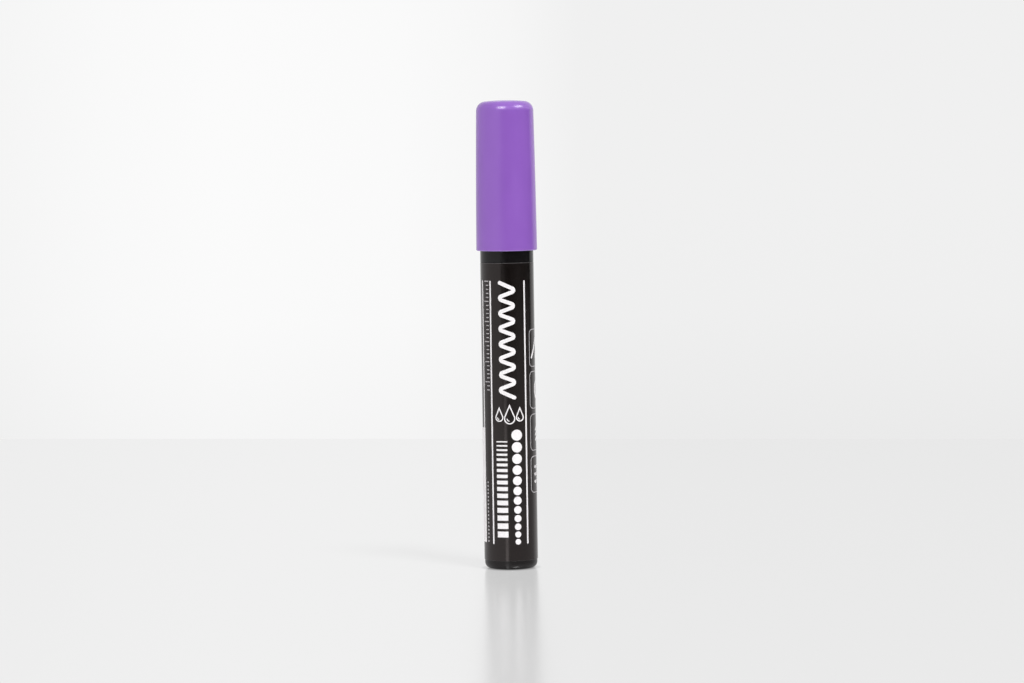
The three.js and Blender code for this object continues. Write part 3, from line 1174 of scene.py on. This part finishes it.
def table_material():
    """A pale table: mostly its own even tone where it is seen, partly lit, under a soft gloss."""
    finish = Finish("Pale table", Specular_IOR_Level=0.0)
    finish.color(finish.noise(180, 2), srgb(240, 240, 240), srgb(241, 241, 241))
    finish.roughness(finish.noise(60, 2), 0.5, 0.6)
    nodes, link = finish.nodes, finish.link
    gloss = nodes.new("ShaderNodeBsdfGlossy")
    gloss.inputs["Roughness"].default_value = TABLE_GLOSS_ROUGHNESS
    lit = finish.shader.outputs["BSDF"]
    even = mixed(nodes, link, TABLE_EVEN_SHARE, lit, table_tone(finish))
    shiny = mixed(nodes, link, TABLE_GLOSS_SHARE, even, gloss.outputs["BSDF"])
    one_sided(nodes, link, mixed(nodes, link, seen_rays(nodes, link), lit, shiny))
    return finish.material


def staged(name, points, faces, material):
    """Adds a piece of the studio, which isn't part of the pen."""
    mesh = bpy.data.meshes.new(name)
    mesh.from_pydata(points, [], faces)
    mesh.materials.append(material)
    piece = bpy.data.objects.new(name, mesh)
    bpy.context.scene.collection.objects.link(piece)
    return piece


def pale_table():
    turned = Matrix.Rotation(math.radians(TABLE_TURN), 3, "Z")
    corners = []
    for across, along in ((-1, -TABLE_FRONT), (1, -TABLE_FRONT), (1, TABLE_BACK), (-1, TABLE_BACK)):
        corners.append(turned @ Vector((across * TABLE_HALF_WIDTH, along, -TABLE_GAP)))
    return staged("table", corners, [(0, 1, 2, 3)], table_material())


def dark_card(steps=27):
    """A curved black card out of the camera's sight, which keeps the right side of the pen dark."""
    radius = 1.3
    right = 118
    rows = [(-0.35, -28), (0.05, -28), (0.14, -17), (0.4, -17)]  # height, and azimuth of the left end
    points = []
    for height, left in rows:
        for step in range(steps + 1):
            angle = math.radians(left + (right - left) * step / steps)
            points.append((radius * math.sin(angle), -radius * math.cos(angle), height))
    faces = []
    for row in range(len(rows) - 1):
        for step in range(steps):
            corner = row * (steps + 1) + step
            faces.append((corner, corner + 1, corner + steps + 2, corner + steps + 1))
    finish = Finish("Dark card", Roughness=1.0, Specular_IOR_Level=0.0)
    finish.color(finish.noise(100), srgb(36, 36, 36), srgb(42, 42, 42))
    card = staged("dark_card", points, faces, finish.material)
    card.visible_camera = False


def bright_strip():
    """A lit strip that lies on the table in front of the pen and shows only as a gleam on its gloss."""
    height = 0.0005
    ends = ((0.007, -11, -5.5), (0.8, -21.5, -10.5))  # distance, and azimuths of the left and right edge
    points = []
    for reach, *edges in ends:
        for degrees in edges:
            angle = math.radians(degrees)
            points.append((reach * math.sin(angle), -reach * math.cos(angle), height))
    finish = Finish("Bright strip", Emission_Strength=1.7, Emission_Color=(1, 1, 1, 1))
    finish.color(finish.noise(100), srgb(60, 60, 60), srgb(70, 70, 70))
    one_sided(finish.nodes, finish.link, finish.shader.outputs["BSDF"])
    strip = staged("bright_strip", points, [(2, 3, 1, 0)], finish.material)
    strip.visible_camera = False
    strip.visible_diffuse = False
    strip.visible_shadow = False


def softbox(name, azimuth, elevation, width, height, power):
    """An area lamp that faces the crown. Azimuth 0 is at the camera, and right is positive."""
    data = bpy.data.lights.new(name, "AREA")
    data.shape = "RECTANGLE"
    data.size = width
    data.size_y = height
    data.energy = power
    lamp = bpy.data.objects.new(name, data)
    turn, rise = math.radians(azimuth), math.radians(elevation)
    out = Vector((math.sin(turn) * math.cos(rise), -math.cos(turn) * math.cos(rise), math.sin(rise)))
    lamp.location = Vector((0, 0, cap_high.z * MM)) + out * LAMP_DISTANCE
    lamp.rotation_mode = "QUATERNION"
    lamp.rotation_quaternion = out.to_track_quat("Z", "Y")
    lamp.visible_camera = False
    bpy.context.scene.collection.objects.link(lamp)
    return lamp


def link_table(lamp, table, state):
    """Keeps a lamp's light off the table, or on the table alone."""
    group = bpy.data.collections.new(lamp.name)
    group.objects.link(table)
    group.collection_objects[0].light_linking.link_state = state
    lamp.light_linking.receiver_collection = group


def pale_room():
    """The world: a pale wall that darkens to both sides and downwards where it is seen, else soft light."""
    left_to_right = [
        (0.15, 228),
        (0.36, 245),
        (0.39, 249),
        (0.42, 251),
        (0.47, 250),
        (0.5, 246),
        (0.52, 240),
    ]
    bottom_to_top = [(0, 249), (0.5, 254), (1, 255)]
    world = bpy.data.worlds.new("Pale room")
    bpy.context.scene.world = world
    world.use_nodes = True
    nodes = world.node_tree.nodes
    link = world.node_tree.links.new
    nodes.clear()
    light = nodes.new("ShaderNodeBackground")
    light.inputs["Color"].default_value = (1, 1, 1, 1)
    light.inputs["Strength"].default_value = ROOM_LIGHT
    direction = nodes.new("ShaderNodeSeparateXYZ")
    link(nodes.new("ShaderNodeTexCoord").outputs["Generated"], direction.inputs["Vector"])
    across = spread_node(nodes, link, direction.outputs["X"], -0.5, 0.5)
    upwards = spread_node(nodes, link, direction.outputs["Z"], -0.09, -0.02)
    wall = nodes.new("ShaderNodeMixRGB")
    wall.blend_type = "MULTIPLY"
    wall.inputs["Fac"].default_value = 1
    link(ramp_node(nodes, link, across, left_to_right), wall.inputs["Color1"])
    link(ramp_node(nodes, link, upwards, bottom_to_top), wall.inputs["Color2"])
    backdrop = nodes.new("ShaderNodeBackground")
    link(wall.outputs["Color"], backdrop.inputs["Color"])
    shown = mixed(nodes, link, seen_rays(nodes, link), light.outputs[0], backdrop.outputs[0])
    link(shown, nodes.new("ShaderNodeOutputWorld").inputs["Surface"])


def photo_camera():
    """A long lens a little above the pen, tilted a little, as in the photograph."""
    data = bpy.data.cameras.new("Photo camera")
    data.lens = CAMERA_LENS
    data.sensor_width = CAMERA_SENSOR
    data.clip_start = 0.05
    camera = bpy.data.objects.new("Photo camera", data)
    tilt = Matrix.Rotation(math.radians(90 - CAMERA_PITCH), 4, "X")
    roll = Matrix.Rotation(math.radians(CAMERA_ROLL), 4, "Z")
    camera.matrix_world = Matrix.Translation(CAMERA_PLACE) @ tilt @ roll
    bpy.context.scene.collection.objects.link(camera)
    bpy.context.scene.camera = camera


def studio():
    photo_camera()
    pale_room()
    table = pale_table()
    dark_card()
    bright_strip()
    for *lamp, state in LAMPS:
        link_table(softbox(*lamp), table, state)
    bpy.context.scene.view_settings.view_transform = "Standard"


def pen():
    film_material = printed_film()
    purple_cap()
    inner_cap()
    barrel_bottle()
    label_film(film_material)
    front_body()
    bullet_nib()
    return_spring()
    steel_balls()
    inner_pieces()
    film_overlap(film_material)
    label_print()


studio()
pen()
